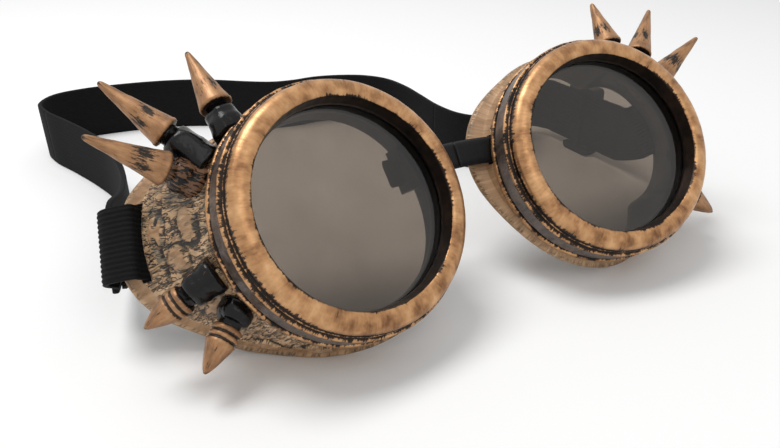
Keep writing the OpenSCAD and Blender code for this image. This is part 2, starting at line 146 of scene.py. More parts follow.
def skin(name, rings, matrix, body, material, close_u=True, close_v=False, grain=None, wear=None,
         slot=None, stands_for=(), caps=False, second=None):
    """A piece whose skin runs through rings of points, one ring per step round (u) and one point per
    step along (v). grain and wear give each point its texture coordinates and its share of polish.
    second is (material, first, last): that material goes on the faces between those steps along."""
    n, m = len(rings), len(rings[0])
    co = np.array(rings, float).reshape(-1, 3)
    hom = np.c_[co, np.ones(len(co))] @ np.array(matrix, float).T
    faces = []
    for i in range(n if close_u else n - 1):
        for j in range(m if close_v else m - 1):
            a, b = i * m + j, i * m + (j + 1) % m
            c, d = ((i + 1) % n) * m + (j + 1) % m, ((i + 1) % n) * m + j
            faces.append((a, b, c, d))
    if caps:
        faces.append(tuple(range(m)))
        faces.append(tuple((n - 1) * m + j for j in reversed(range(m))))
    if np.linalg.det(np.array(matrix, float)[:3, :3]) < 0:
        faces = [f[::-1] for f in faces]
    mesh = bpy.data.meshes.new(name)
    mesh.from_pydata((hom[:, :3] * MM).tolist(), [], faces)
    mesh.validate()
    outward(mesh)
    smooth = np.ones(len(mesh.polygons), bool)
    if caps:
        smooth[-2:] = False
    mesh.polygons.foreach_set("use_smooth", smooth)
    grain = co if grain is None else np.array(grain, float).reshape(-1, 3)
    attribute = mesh.attributes.new("grain", "FLOAT_VECTOR", "POINT")
    attribute.data.foreach_set("vector", grain.astype(np.float32).ravel())
    wear = np.full(len(co), 0.5) if wear is None else np.array(wear, float).ravel()
    attribute = mesh.attributes.new("wear", "FLOAT", "POINT")
    attribute.data.foreach_set("value", wear.astype(np.float32))
    mesh.materials.append(material)
    if second:
        mesh.materials.append(second[0])
        per_ring = m if close_v else m - 1
        for k, face in enumerate(mesh.polygons):
            face.material_index = int(second[1] <= k % per_ring < second[2])
    piece = bpy.data.objects.new(name, mesh)
    bpy.context.scene.collection.objects.link(piece)
    if body:
        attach(piece, body)
    if stands_for:
        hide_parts(*stands_for)
    return piece


def outward(mesh):
    """Turns the faces so that their normals point out of the piece."""
    b = bmesh.new()
    b.from_mesh(mesh)
    bmesh.ops.recalc_face_normals(b, faces=b.faces)
    b.to_mesh(mesh)
    b.free()


def lathe(name, profile, matrix, body, material, steps=96, dent=0.0, seed=0.0, close_v=False, **more):
    """A turned piece: profile is [radius, z, polish, fray] points. dent makes its surface uneven, and
    fray is how far dark paint creeps over the polish at some places round the piece."""
    profile = [np.array((*p, 0.0)[:4], float) for p in profile]
    along = np.r_[0, np.cumsum([np.linalg.norm((b - a)[:2]) for a, b in zip(profile, profile[1:])])]
    rings, grain, wear = [], [], []
    widest = max(p[0] for p in profile)
    for i in range(steps):
        a = 360 * i / steps
        creep = (0.5 + 1.1 * wobble(cos(a) * 1.7, sin(a) * 1.7, 0, seed)
                 + 0.7 * wobble(cos(a) * 9, sin(a) * 9, 0, seed))
        ring = []
        for (r, z, polish, fray), s in zip(profile, along):
            uneven = dent * wobble(cos(a) * widest / 2.2, sin(a) * widest / 2.2, z / 2.2, seed)
            radius = max(0.0, r + uneven * min(1, r))
            ring.append((radius * cos(a), radius * sin(a), z))
            grain.append((widest * cos(a), widest * sin(a), s))
            wear.append(polish + uneven * 0.8 - fray * max(0.0, min(1.0, creep)))
        rings.append(ring)
    return skin(name, rings, matrix, body, material, grain=grain, wear=wear, close_v=close_v, **more)


# ---------------------------------------------------------------- materials
def new_material(name, **sockets):
    """A Principled material whose constant values sit on the shader's own sockets."""
    mat = bpy.data.materials.new(name)
    mat.use_nodes = True
    shader = mat.node_tree.nodes["Principled BSDF"]
    for key, value in sockets.items():
        shader.inputs[key.replace("_", " ")].default_value = value
    return mat, mat.node_tree.nodes, mat.node_tree.links, shader


def surface_nodes(nodes):
    """The texture coordinates and the share of polish that skin() has put on the points."""
    found = []
    for name, output in (("grain", "Vector"), ("wear", "Fac")):
        node = nodes.new("ShaderNodeAttribute")
        node.attribute_name = name
        found.append(node.outputs[output])
    return found


def noise_node(nodes, links, vector, scale, detail=4.0, roughness=0.6, stretch=None, distortion=0.0):
    """Noise on the given coordinates, which stretch scales along each axis first."""
    if stretch is not None:
        mapping = nodes.new("ShaderNodeMapping")
        mapping.inputs["Scale"].default_value = stretch
        links.new(vector, mapping.inputs["Vector"])
        vector = mapping.outputs["Vector"]
    node = nodes.new("ShaderNodeTexNoise")
    node.inputs["Scale"].default_value = scale
    node.inputs["Detail"].default_value = detail
    node.inputs["Roughness"].default_value = roughness
    node.inputs["Distortion"].default_value = distortion
    links.new(vector, node.inputs["Vector"])
    return node.outputs["Fac"]


def math_node(nodes, links, operation, a, b):
    node = nodes.new("ShaderNodeMath")
    node.operation = operation
    for socket, value in zip(node.inputs, (a, b)):
        if isinstance(value, (int, float)):
            socket.default_value = value
        else:
            links.new(value, socket)
    return node.outputs[0]


def swing_node(nodes, links, value, share):
    """How far value lies from its middle of 0.5, times share."""
    return math_node(nodes, links, "MULTIPLY", math_node(nodes, links, "SUBTRACT", value, 0.5), share)


def sum_node(nodes, links, a, share_a, b, share_b):
    """Sum of a and b, each times its share."""
    return math_node(nodes, links, "ADD", math_node(nodes, links, "MULTIPLY", a, share_a),
                     math_node(nodes, links, "MULTIPLY", b, share_b))


def ramp_node(nodes, links, factor, stops):
    """Colour ramp with stops of (place, colour)."""
    node = nodes.new("ShaderNodeValToRGB")
    elements = node.color_ramp.elements
    for element, (place, colour) in zip(elements, stops):
        element.position, element.color = place, (*colour, 1)
    for place, colour in stops[2:]:
        elements.new(place).color = (*colour, 1)
    links.new(factor, node.inputs["Fac"])
    return node.outputs["Color"]


def mix_node(nodes, links, factor, a, b):
    """Colour a at factor 0 and b at 1; each may be a colour or another node's output."""
    node = nodes.new("ShaderNodeMix")
    node.data_type = "RGBA"
    for socket, value in ((node.inputs["Factor"], factor), (node.inputs["A"], a), (node.inputs["B"], b)):
        if isinstance(value, tuple):
            socket.default_value = (*value, 1)
        elif isinstance(value, (int, float)):
            socket.default_value = value
        else:
            links.new(value, socket)
    return node.outputs["Result"]


def range_node(nodes, links, value, low, high, to_low=0.0, to_high=1.0):
    """Value stretched from between low and high to between to_low and to_high, and held at the ends."""
    node = nodes.new("ShaderNodeMapRange")
    node.inputs["From Min"].default_value = low
    node.inputs["From Max"].default_value = high
    node.inputs["To Min"].default_value = to_low
    node.inputs["To Max"].default_value = to_high
    links.new(value, node.inputs["Value"])
    return node.outputs["Result"]


def bump_node(nodes, links, shader, height, strength, distance):
    """Fine relief on the shader, distance metres high at a height of 1."""
    node = nodes.new("ShaderNodeBump")
    node.inputs["Strength"].default_value = strength
    node.inputs["Distance"].default_value = distance
    links.new(height, node.inputs["Height"])
    links.new(node.outputs["Normal"], shader.inputs["Normal"])


COPPER_LIGHT, COPPER, COPPER_DEEP = (0.62, 0.36, 0.175), (0.43, 0.225, 0.10), (0.18, 0.08, 0.034)
PATINA, PATINA_BROWN = (0.010, 0.008, 0.007), (0.035, 0.020, 0.013)


def copper_paint(name, stroke, strength, spread, metallic, roughness, contrast,
                 light=COPPER_LIGHT, mid=COPPER, deep=COPPER_DEEP):
    """Brushed copper paint over a dark patina. wear, 0 to 1, says how much copper shows at a point,
    and strokes of the brush run along the axis in which stroke is small. strength and spread say how
    much the strokes and the wide blotches change that, and contrast how much the strokes shade the copper."""
    mat, nodes, links, shader = new_material(name, Metallic=metallic)
    grain, wear = surface_nodes(nodes)
    strokes = noise_node(nodes, links, grain, 1.6, 5, 0.62, stroke, 0.4)
    blotches = noise_node(nodes, links, grain, 0.23, 3, 0.55)
    specks = noise_node(nodes, links, grain, 2.6, 3, 0.7)
    total = wear
    for value, share in ((strokes, 2.4 * strength), (blotches, 1.3 * spread), (specks, 0.9 * strength)):
        total = math_node(nodes, links, "ADD", total, swing_node(nodes, links, value, share))
    shown = range_node(nodes, links, total, 0.22, 0.42)
    stroke_share, blotch_share = 0.45 * contrast, 0.6
    tone = sum_node(nodes, links, strokes, stroke_share, blotches, blotch_share)
    middle = 0.5 * (stroke_share + blotch_share)
    paint = ramp_node(nodes, links, tone, [(middle - 0.13, deep), (middle, mid), (middle + 0.14, light)])
    base = ramp_node(nodes, links, blotches, [(0.35, PATINA), (0.65, PATINA_BROWN)])
    links.new(mix_node(nodes, links, shown, base, paint), shader.inputs["Base Color"])
    links.new(range_node(nodes, links, strokes, 0.3, 0.7, roughness + 0.1, roughness),
              shader.inputs["Roughness"])
    height = math_node(nodes, links, "ADD", math_node(nodes, links, "MULTIPLY", shown, 0.6), strokes)
    bump_node(nodes, links, shader, height, 0.3, 0.0001)
    return mat


def bark_paint(name):
    """Wrinkled worn paint of the cup's wall: beige and grey-green copper with fine dark wrinkles.
    Where wear is high the wrinkles vanish, and where it is low the dark patina covers all."""
    mat, nodes, links, shader = new_material(name, Metallic=0.15)
    grain, wear = surface_nodes(nodes)
    fine = noise_node(nodes, links, grain, 1.0, 3, 0.55, (0.85, 0.85, 0.2), 0.6)
    wide = noise_node(nodes, links, grain, 1.0, 3, 0.6, (0.38, 0.38, 0.13), 0.8)
    blotches = noise_node(nodes, links, grain, 0.3, 4, 0.6)
    lines = None
    for value, low, high in ((fine, 0.008, 0.034), (wide, 0.004, 0.022)):
        away = math_node(nodes, links, "ABSOLUTE", math_node(nodes, links, "SUBTRACT", value, 0.5), 0.0)
        line = range_node(nodes, links, away, low, high)
        lines = line if lines is None else math_node(nodes, links, "MULTIPLY", lines, line)
    worn = range_node(nodes, links, wear, 0.72, 0.95)
    bare = math_node(nodes, links, "ADD", wear, swing_node(nodes, links, fine, 1.6))
    bare = range_node(nodes, links, bare, 0.02, 0.3)
    shown = math_node(nodes, links, "MULTIPLY", math_node(nodes, links, "MAXIMUM", lines, worn), bare)
    ground = ramp_node(nodes, links, blotches, [(0.36, (0.17, 0.138, 0.095)), (0.45, (0.42, 0.27, 0.15)),
                                                (0.56, (0.58, 0.37, 0.205)), (0.68, (0.70, 0.49, 0.31))])
    pad = ramp_node(nodes, links, fine, [(0.3, (0.27, 0.15, 0.07)), (0.7, (0.48, 0.29, 0.155))])
    paint = mix_node(nodes, links, worn, ground, pad)
    base = ramp_node(nodes, links, blotches, [(0.35, (0.010, 0.008, 0.007)), (0.65, (0.032, 0.02, 0.014))])
    links.new(mix_node(nodes, links, shown, base, paint), shader.inputs["Base Color"])
    links.new(range_node(nodes, links, fine, 0.3, 0.7, 0.5, 0.36), shader.inputs["Roughness"])
    bump_node(nodes, links, shader, shown, 0.8, 0.0003)
    return mat


def grip_paint(name):
    """Smooth brown-grey patina of the cap's grip band, a little mottled."""
    mat, nodes, links, shader = new_material(name, Metallic=0.3)
    grain, wear = surface_nodes(nodes)
    mottle = noise_node(nodes, links, grain, 0.35, 5, 0.62, (1, 1, 0.5), 0.6)
    ticks = noise_node(nodes, links, grain, 1.9, 4, 0.6, (1.0, 1.0, 0.25), 0.4)
    tone = sum_node(nodes, links, mottle, 0.7, ticks, 0.3)
    patina = ramp_node(nodes, links, tone, [(0.38, (0.034, 0.025, 0.021)), (0.5, (0.095, 0.07, 0.058)),
                                            (0.6, (0.15, 0.115, 0.098)), (0.7, (0.21, 0.15, 0.12))])
    edge = math_node(nodes, links, "ADD", wear, swing_node(nodes, links, ticks, 1.5))
    shown = range_node(nodes, links, edge, 0.55, 0.75)
    links.new(mix_node(nodes, links, shown, patina, (0.44, 0.29, 0.19)), shader.inputs["Base Color"])
    links.new(range_node(nodes, links, mottle, 0.3, 0.7, 0.3, 0.42), shader.inputs["Roughness"])
    bump_node(nodes, links, shader, tone, 0.2, 0.0001)
    return mat


def black_gloss(name, roughness, brown):
    """Black paint, glossy and uneven, with brown copper strokes where brown is above 0."""
    mat, nodes, links, shader = new_material(name, Specular_IOR_Level=0.24)
    grain, _ = surface_nodes(nodes)
    strokes = noise_node(nodes, links, grain, 1.1, 4, 0.6, (1, 1, 0.4), 0.8)
    shown = range_node(nodes, links, strokes, 0.66 - brown, 0.72 - brown)
    colour = mix_node(nodes, links, shown, (0.0045, 0.004, 0.004), (0.17, 0.085, 0.045))
    links.new(colour, shader.inputs["Base Color"])
    links.new(range_node(nodes, links, strokes, 0.3, 0.8, roughness, roughness + 0.2),
              shader.inputs["Roughness"])
    bump_node(nodes, links, shader, noise_node(nodes, links, grain, 0.5, 3, 0.5), 0.5, 0.0004)
    return mat


def elastic(name):
    """Black woven elastic: fine cross threads over the ribs of the mesh."""
    mat, nodes, links, shader = new_material(name, Roughness=0.8, Specular_IOR_Level=0.1)
    grain, _ = surface_nodes(nodes)
    threads = noise_node(nodes, links, grain, 2.2, 2, 0.5, (0.5, 2.6, 2.6))
    fuzz = noise_node(nodes, links, grain, 6.0, 2, 0.6)
    tone = sum_node(nodes, links, threads, 0.7, fuzz, 0.3)
    links.new(ramp_node(nodes, links, tone, [(0.3, (0.005, 0.005, 0.0052)), (0.75, (0.013, 0.013, 0.0133))]),
              shader.inputs["Base Color"])
    bump_node(nodes, links, shader, tone, 0.4, 0.00008)
    return mat


def plain_black(name, roughness):
    """Moulded black plastic or rubber with a faint mould grain."""
    mat, nodes, links, shader = new_material(name, Specular_IOR_Level=0.18)
    coords = nodes.new("ShaderNodeTexCoord").outputs["Object"]
    fine_grain = noise_node(nodes, links, coords, 1200, 3, 0.6)
    black = [(0.3, (0.004, 0.004, 0.0042)), (0.7, (0.008, 0.008, 0.0083))]
    links.new(ramp_node(nodes, links, fine_grain, black), shader.inputs["Base Color"])
    links.new(range_node(nodes, links, fine_grain, 0.3, 0.7, roughness, roughness + 0.12),
              shader.inputs["Roughness"])
    bump_node(nodes, links, shader, fine_grain, 0.25, 0.00004)
    return mat


def tinted_glass(name):
    """Smoke-brown lens plastic, a little dusty."""
    mat, nodes, links, shader = new_material(name, IOR=1.49, Transmission_Weight=1.0, Roughness=0.0)
    coords = nodes.new("ShaderNodeTexCoord").outputs["Object"]
    dust = noise_node(nodes, links, coords, 90, 3, 0.6)
    links.new(ramp_node(nodes, links, dust, [(0.3, (0.195, 0.155, 0.122)), (0.7, (0.225, 0.182, 0.145))]),
              shader.inputs["Base Color"])
    return mat


M_RIM = copper_paint("rim copper", stroke=(1.0, 1.0, 0.2), strength=0.8, spread=0.9,
                     metallic=0.75, roughness=0.3, contrast=0.35)
M_SPIKE = copper_paint("spike copper", stroke=(1.0, 1.0, 0.3), strength=0.75, spread=0.55,
                       metallic=0.5, roughness=0.4, contrast=0.6,
                       light=(0.45, 0.25, 0.122), mid=(0.33, 0.168, 0.075), deep=(0.19, 0.095, 0.048))
M_WALL = bark_paint("wall paint")
M_GRIP = grip_paint("grip patina")
M_POST = black_gloss("post black", roughness=0.14, brown=0.0)
M_POST_BROWN = black_gloss("post brown", roughness=0.2, brown=0.2)
M_ELASTIC = elastic("strap elastic")
M_STRIP = plain_black("nose strip black", 0.34)
M_BLACK = plain_black("slider black", 0.3)
M_GASKET = plain_black("gasket black", 0.6)
M_LENS = tinted_glass("tinted lens")


# ---------------------------------------------------------------- cup wall
def ray_to(a, reach, c, r):
    """Distance at angle a to the far side of a circle of radius r that sits reach out at angle c."""
    return reach * cos(a - c) + math.sqrt(max(0.01, r * r - (reach * sin(a - c)) ** 2))


def soft_max(values):
    """The largest value, rounded where two are close, which makes the flares run into one another."""
    return FLARE_BLEND * math.log(sum(math.exp(v / FLARE_BLEND) for v in values))


def from_temple(a):
    """Angle a as its distance from the temple's side, from -180 to 180."""
    return (a + 180) % 360 - 180


def lobe(a, reach, c, r):
    """A lobe's distance from the lens axis, or nothing on the side that faces away from it."""
    return ray_to(a, reach, c, r) if cos(a - c) > 0.17 else 0


def rear_radius(a):
    """Outline of the rear rim: a circle with flares to the temple, the cheek and the nose."""
    return soft_max([REAR_R, lobe(a, TEMPLE_REACH, TEMPLE_ANGLE, TEMPLE_R),
                     lobe(a, CHEEK_REACH, CHEEK_ANGLE, CHEEK_R), lobe(a, NOSE_REACH, NOSE_ANGLE, NOSE_R)])


def inner_radius(a):
    """Opening for the eye at the rear rim."""
    return soft_max([INNER_R, lobe(a, TEMPLE_REACH, TEMPLE_ANGLE, TEMPLE_R - WALL_T - 0.4)])


def rear_depth(a):
    """How far behind the lens opening the rear rim lies at angle a."""
    cheek = CHEEK_DIP * max(0, cos(a - CHEEK_ANGLE)) ** 2
    return RIM_DEPTH + RIM_SWING * cos(a - RIM_SWING_ANGLE) + RIM_DIP * cos(2 * a) - cheek


def wall_point(a, t):
    """Radius and depth of the plain wall, from its front at t 0 to the rear rim at t 1."""
    flare = t ** (1.15 + 0.55 * (1 - cos(a - TEMPLE_ANGLE)))
    depth = WALL_START + (rear_depth(a) - WALL_START) * t
    return WALL_R + (rear_radius(a) - 0.5 - WALL_R) * flare, depth


def wall_radius(a, depth):
    """Radius of the plain wall at a depth."""
    return wall_point(a, max(0.0, (depth - WALL_START) / (rear_depth(a) - WALL_START)))[0]


# Width of the smooth border along the rear rim
BORDER = 5.2
# Raised smooth pads on the wall: angle, depth, half height and half width in millimetres, tilt
PADS = [(16.3, 17.8, 4.1, 2.3, -10), (4.6, 22.4, 3.0, 2.5, 0), (16.6, 26.4, 3.3, 1.8, 0),
        (-11, 14.2, 3.4, 2.2, -25), (-19, 21.5, 2.6, 1.9, 0), (62, 22, 2.8, 2.1, 0),
        (104, 16, 3.2, 2.2, 10), (126, 15, 2.6, 2.0, 0), (-46, 24, 3.0, 2.1, 10), (-64, 17.5, 3.2, 2.1, -15),
        (-92, 16.5, 2.8, 1.9, 10), (-122, 15, 2.7, 1.8, 0), (-150, 14.6, 2.4, 1.7, 0)]
# Dark slits beside the strap slot: angles at both ends, depth, half width
SLITS = [(18.5, 28.6, 25.9, 0.42), (1.0, 13.6, 26.5, 0.42)]
# Low ridges along the front of the strap slot: distance from the slot, height
RIDGES = [(1.0, 0.3), (2.6, 0.2)]
# Degrees to each side of the slot's middle that the ridges reach
RIDGE_SPAN = 22


def wall_relief(a, depth):
    """Height above the plain wall and share of polish at a point of the wall."""
    a = from_temple(a)
    r = wall_radius(a, depth)
    arc = math.radians(1) * r
    u, v = r * math.radians(a), depth
    bark = wobble(u / 0.85, v / 3.4, 0, 3) * 0.55 + wobble(u / 0.45, v / 2.2, 4, 9) * 0.45
    height = 0.3 * bark + 0.18 * wobble(u / 5, v / 5, 1, 5)
    polish = 0.36 + 0.3 * bark + 0.3 * ease((abs(a) - 105) / 30)
    for angle, at, high, wide, lean in PADS:
        du, dv = (a - angle) * arc, depth - at
        x = (du * cos(lean) - dv * sin(lean)) / high
        y = (du * sin(lean) + dv * cos(lean)) / wide
        d = (math.hypot(x, y) + 0.2 * wobble(u / 1.4, v / 1.4, 0, angle)
             + 0.18 * wobble(u / 0.6, v / 1.2, 0, angle))
        if d < 1.5:
            inside = ease((1.12 - d) / 0.3)
            height = height * (1 - inside) + inside * (0.75 + 0.25 * bump_shape(d))
            moat = ease(1 - abs(d - 1.2) / 0.28)
            smooth = 0.93 + 0.25 * wobble(u / 0.9, v / 1.6, 2, angle)
            polish = polish * (1 - inside) + inside * smooth - 0.45 * moat * (1 - inside)
            height -= 0.15 * moat * (1 - inside)
    for low, high, at, half in SLITS:
        along = max(low - a, a - high, 0) * arc
        d = math.hypot(along, depth - at - 0.35 * ((a - (low + high) / 2) / 6) ** 2)
        cut = ease((half + 0.35 - d) / 0.4)
        height -= 0.95 * cut
        polish = polish * (1 - cut) - 0.6 * cut
        edge = ease(1 - abs(d - half - 0.75) / 0.5)
        height += 0.22 * edge
        polish += 0.3 * edge
    if abs(a - TEMPLE_ANGLE) < RIDGE_SPAN:
        for away, lift in RIDGES:
            at = rear_depth(a) - BAR_W - SLOT_W - away
            ridge = ease(1 - abs(depth - at) / 0.8) * ease((RIDGE_SPAN - abs(a - TEMPLE_ANGLE)) / 5)
            height += lift * ridge
            polish += 0.35 * ridge
    border = ease((depth - rear_depth(a) + BORDER + 0.5 * wobble(u / 3, 0, 0, 2)) / 1.2)
    fade = ease((depth - WALL_START - 0.2) / 1.6) * (1 - 0.8 * border)
    return height * fade, max(polish * fade, 1.02 * border)


# Places along the wall, as in wall_point, of its inside's points, from the rim to the front
INSIDE_TS = (0.85, 0.7, 0.55, 0.4, 0.28, 0.16, 0.05)


def wall_ring(a):
    """Section of the cup's wall at angle a: radius, depth and polish, from the front round the rim."""
    r, d = rear_radius(a), rear_depth(a)
    end = 1 - (BEAD_H + 0.15) / (d - WALL_START)
    out = [(COLLAR_BORE + 0.5, WALL_START, -0.5), (WALL_R - 1.2, WALL_START, -0.4)]
    for k in range(OUTSIDE_STEPS + 1):
        t = end * k / OUTSIDE_STEPS
        radius, depth = wall_point(a, t)
        height, polish = wall_relief(a, depth)
        out.append((radius + height, depth, polish))
    bead = [(r - 0.75, d - BEAD_H + 0.1, 0.9), (r - 0.2, d - BEAD_H + 0.45, 0.8), (r + 0.12, d - 1.5, 0.9),
            (r + 0.15, d - 1.0, 0.95), (r - 0.1, d - 0.4, 0.95), (r - 0.8, d - 0.02, 0.8)]
    for radius, depth, polish in bead:
        out.append((radius + 0.1 * wobble(cos(a) * 9, sin(a) * 9, depth / 2), depth, polish))
    inside = inner_radius(a)
    out += [(inside + 0.9, d, 0.1), (inside + 0.25, d - 0.2, -0.3), (inside, d - 0.9, -0.9)]
    for t in INSIDE_TS:
        radius, depth = wall_point(a, t)
        out.append((min(inside, radius - WALL_T), depth, -1.0))
    return out


def slot_cutter(name, size, place, matrix):
    """A block in a cup's own coordinates, used once to cut a slot and then removed."""
    mesh = bpy.data.meshes.new("cutter")
    corners = [(x, y, z) for x in (-0.5, 0.5) for y in (-0.5, 0.5) for z in (-0.5, 0.5)]
    m = matrix @ place
    co = [m @ Vector([c * s for c, s in zip(corner, size)]) * MM for corner in corners]
    faces = [(0, 1, 3, 2), (4, 6, 7, 5), (0, 4, 5, 1), (2, 3, 7, 6), (0, 2, 6, 4), (1, 5, 7, 3)]
    mesh.from_pydata(co, [], faces)
    outward(mesh)
    cutter = bpy.data.objects.new(name, mesh)
    bpy.context.scene.collection.objects.link(cutter)
    return cutter


def cut(piece, cutters):
    """Cuts the blocks out of the piece and applies the result to its mesh."""
    for cutter in cutters:
        modifier = piece.modifiers.new("cut", "BOOLEAN")
        modifier.operation, modifier.object, modifier.solver = "DIFFERENCE", cutter, "EXACT"
    bpy.context.view_layer.update()
    result = bpy.data.meshes.new_from_object(piece.evaluated_get(bpy.context.evaluated_depsgraph_get()))
    piece.modifiers.clear()
    piece.data = result
    for cutter in cutters:
        bpy.data.objects.remove(cutter)


def strap_slot_place():
    """Where the strap's slot is, in the cup's wall beside the bar that the strap goes round."""
    r, d = rear_radius(TEMPLE_ANGLE), rear_depth(TEMPLE_ANGLE)
    radius, depth = wall_point(TEMPLE_ANGLE, 0.8)
    flare_angle = math.atan2(r - radius, d - depth)
    return (Matrix.Rotation(math.radians(TEMPLE_ANGLE), 4, "Z") @ Matrix.Translation((r, 0, -d))
            @ Matrix.Rotation(-flare_angle, 4, "Y") @ Matrix.Translation((0, 0, BAR_W + SLOT_W / 2)))


def build_wall(name):
    """The cup's wall from the collar to the bead round its rear rim, with its two slots."""
    matrix = CUP[name]
    rings, grain, wear = [], [], []
    for i in range(WALL_STEPS):
        a = 360 * i / WALL_STEPS
        section = wall_ring(from_temple(a))
        first_inside = len(section) - len(INSIDE_TS) - 1
        rings.append([(r * cos(a), r * sin(a), -d) for r, d, _ in section])
        # The inside has its own stretch of texture, or it would repeat the outside's
        grain.append([(WALL_GRAIN_R * cos(a), WALL_GRAIN_R * sin(a), d + (0 if k < first_inside else 30))
                      for k, (_, d, _) in enumerate(section)])
        wear.append([p for _, _, p in section])
    wall = skin(name + "_cup_wall", rings, matrix, name + "_eye", M_WALL, close_v=True, grain=grain,
                wear=wear, slot="copper_paint", stands_for=(name + "_cup",))
    strip_place = Matrix.Translation((-WALL_R - 1, STRIP_UP, -STRIP_DEPTH))
    strip_size = (STRIP_CUT, STRIP_W + STRIP_SPARE_W, STRIP_T + STRIP_SPARE_T)
    cut(wall, [
        slot_cutter("slot", (STRAP_CUT, FOLD_W + SLOT_SPARE, SLOT_W), strap_slot_place(), matrix),
        slot_cutter("strip", strip_size, strip_place, matrix)])


def build_collar(name):
    """The threaded collar that the cap screws onto, with the shoulder behind the cap."""
    thread_zs = np.linspace(-COLLAR_START, -SHOULDER_START, 22)
    top, bottom = -SHOULDER_START, -SHOULDER_START - SHOULDER_W
    shoulder = [(COLLAR_R, top), (SHOULDER_R - 0.5, top), (SHOULDER_R - 0.12, top - 0.15),
                (SHOULDER_R, top - 0.5), (SHOULDER_R, top - 1.1), (SHOULDER_R - 0.15, top - 1.5),
                (SHOULDER_R - 0.6, bottom), (COLLAR_BORE + 1.7, bottom), (COLLAR_BORE, top - 0.4)]
    polish = [-0.8, -0.2] + [0.15] * len(thread_zs) + [-0.3, 0.1, 0.45, 0.6, 0.5, 0.3, -0.2, -1, -1]
    uneven_from = SHOULDER_R - 1.4
    rings, grain, wear = [], [], []
    for i in range(COLLAR_STEPS):
        a = 360 * i / COLLAR_STEPS
        ring = [(COLLAR_BORE, -COLLAR_START), (COLLAR_R - 0.45, -COLLAR_START)]
        for z in thread_zs:
            turn = ((z + COLLAR_START) / THREAD_PITCH + a / 360) % 1
            ring.append((COLLAR_R - THREAD_GROOVE * ease(1 - abs(turn - 0.5) / 0.35), z))
        lift = 0.08 * wobble(cos(a) * 12, sin(a) * 12, 0)
        ring = [(r + (lift if r > uneven_from else 0), z) for r, z in ring + shoulder]
        rings.append([(r * cos(a), r * sin(a), z) for r, z in ring])
        grain.append([(COLLAR_GRAIN_R * cos(a), COLLAR_GRAIN_R * sin(a), z + r) for r, z in ring])
        wear.append(polish)
    skin(name + "_collar", rings, CUP[name], name + "_eye", M_RIM, close_v=True, grain=grain, wear=wear,
         slot="copper_paint")


def build_cap(name):
    """The screw cap: rounded front rim, groove and thin ridge, then the grip band."""
    mid, half = (OPENING_R + RIM_R) / 2, (RIM_R - OPENING_R) / 2
    # The first points run up the bezel's inner wall from the lens to the rim. Their polish below 0, with the
    # fray on the rim's inner edge, paints that wall near black with a jagged edge.
    profile = [(OPENING_R - 0.55, -LENS_DEPTH, -1.2), (OPENING_R - 0.4, -LENS_DEPTH + 0.9, -1.2),
               (OPENING_R - 0.1, -1.3, -1.1)]
    for k in range(17):
        a = 180 * k / 16
        polish = -0.6 + 1.5 * ease((k + 1) / 3) - 0.35 * ease((k - 13) / 3)
        fray = 1.1 * (1 - ease((k - 1) / 5)) + 0.4 * ease((k - 10) / 5)
        profile.append((mid - half * cos(a), RIM_BULGE * sin(a) - RIM_END * a / 180, polish, fray))
    profile += [(RIM_R + 0.02, -RIM_END - 0.5, 0.0), (RIM_R - 0.15, -RIM_END - 0.8, -0.6),
                (RIM_R + 0.28, -RIM_END - 1.05, 0.3), (RIM_R + 0.35, -RIM_END - 1.3, 0.42),
                (RIM_R + 0.1, -RIM_END - 1.6, -0.1), (RIM_R - 0.25, -BAND_START + 0.3, -0.7),
                (RIM_R + 0.2, -BAND_START + 0.05, -0.2), (BAND_R - 0.3, -BAND_START - 0.02, 0.35),
                (BAND_R - 0.03, -BAND_START - 0.2, 0.5), (BAND_R, -BAND_START - 0.5, 0.3)]
    band_end = -CAP_END + 0.35
    for k in range(1, 9):
        profile.append((BAND_R - 0.1 * math.sin(math.pi * k / 9), -BAND_START - 0.5
                        + (band_end + BAND_START + 0.5) * k / 9, 0.22))
    profile += [(BAND_R, band_end, 0.4), (BAND_R - 0.08, -CAP_END + 0.12, 0.6),
                (BAND_R - 0.35, -CAP_END, 0.1),
                (COLLAR_R + THREAD_GAP + 0.3, -CAP_END, -0.6), (COLLAR_R + THREAD_GAP, -CAP_END + 0.2, -1),
                (COLLAR_R + THREAD_GAP, -COLLAR_START + 0.2, -1), (LENS_SEAT_R, -COLLAR_START + 0.2, -1),
                (LENS_SEAT_R, -LENS_DEPTH, -1)]
    grip_start = next(k for k, p in enumerate(profile) if p[1] < -BAND_START - 0.3)
    grip_end = grip_start + 11
    lathe(name + "_cap_turned", profile, CUP[name], name + "_screw_cap", M_RIM, steps=CAP_STEPS, dent=0.07,
          close_v=True, slot="copper_paint", stands_for=(name + "_cap",), seed=SIDES[name] * 7,
          second=(M_GRIP, grip_start, grip_end))


def behind_cap(point, place):
    """A post's point, moved back where it would reach in front of the shoulder and into the cap."""
    to_cup = CUP["right"].inverted() @ spike_matrix("right", place)
    p = to_cup @ Vector(point)
    p.z = min(p.z, -SHOULDER_START - 0.02)
    return tuple(to_cup.inverted() @ p)


def build_spikes(name):
    """The long pointed spikes."""
    for key, place in LONG_SPIKES.items():
        length = SPIKE_LEN - place[5]
        profile = [(0, length, 0.1), (0.28, length - 0.05, 0.1), (0.52, length - 0.28, 0.25),
                   (0.72, length - 0.75, 0.5)]
        for k in range(1, 13):
            t = k / 12
            profile.append((0.72 + (SPIKE_R - 0.2 - 0.72) * t ** 1.03, length - 0.75 - (length - 2.0) * t,
                            0.62 + 0.1 * math.sin(7 * t), 0.5 * bump_shape(abs(t - 0.72) / 0.22)))
        profile += [(SPIKE_R - 0.02, 0.8, 0.8), (SPIKE_R, 0.5, 0.85), (SPIKE_R - 0.1, 0.15, 0.6),
                    (SPIKE_R - 0.4, 0, 0.0), (NECK_R - 0.2, 0.0, -0.8), (0, 0.02, -0.8)]
        lathe(f"{name}_{key}_cone", profile, spike_matrix(name, place), name + "_eye", M_SPIKE,
              steps=SPIKE_STEPS, dent=0.12, slot="copper_spike", stands_for=(f"{name}_{key}",), seed=place[3])


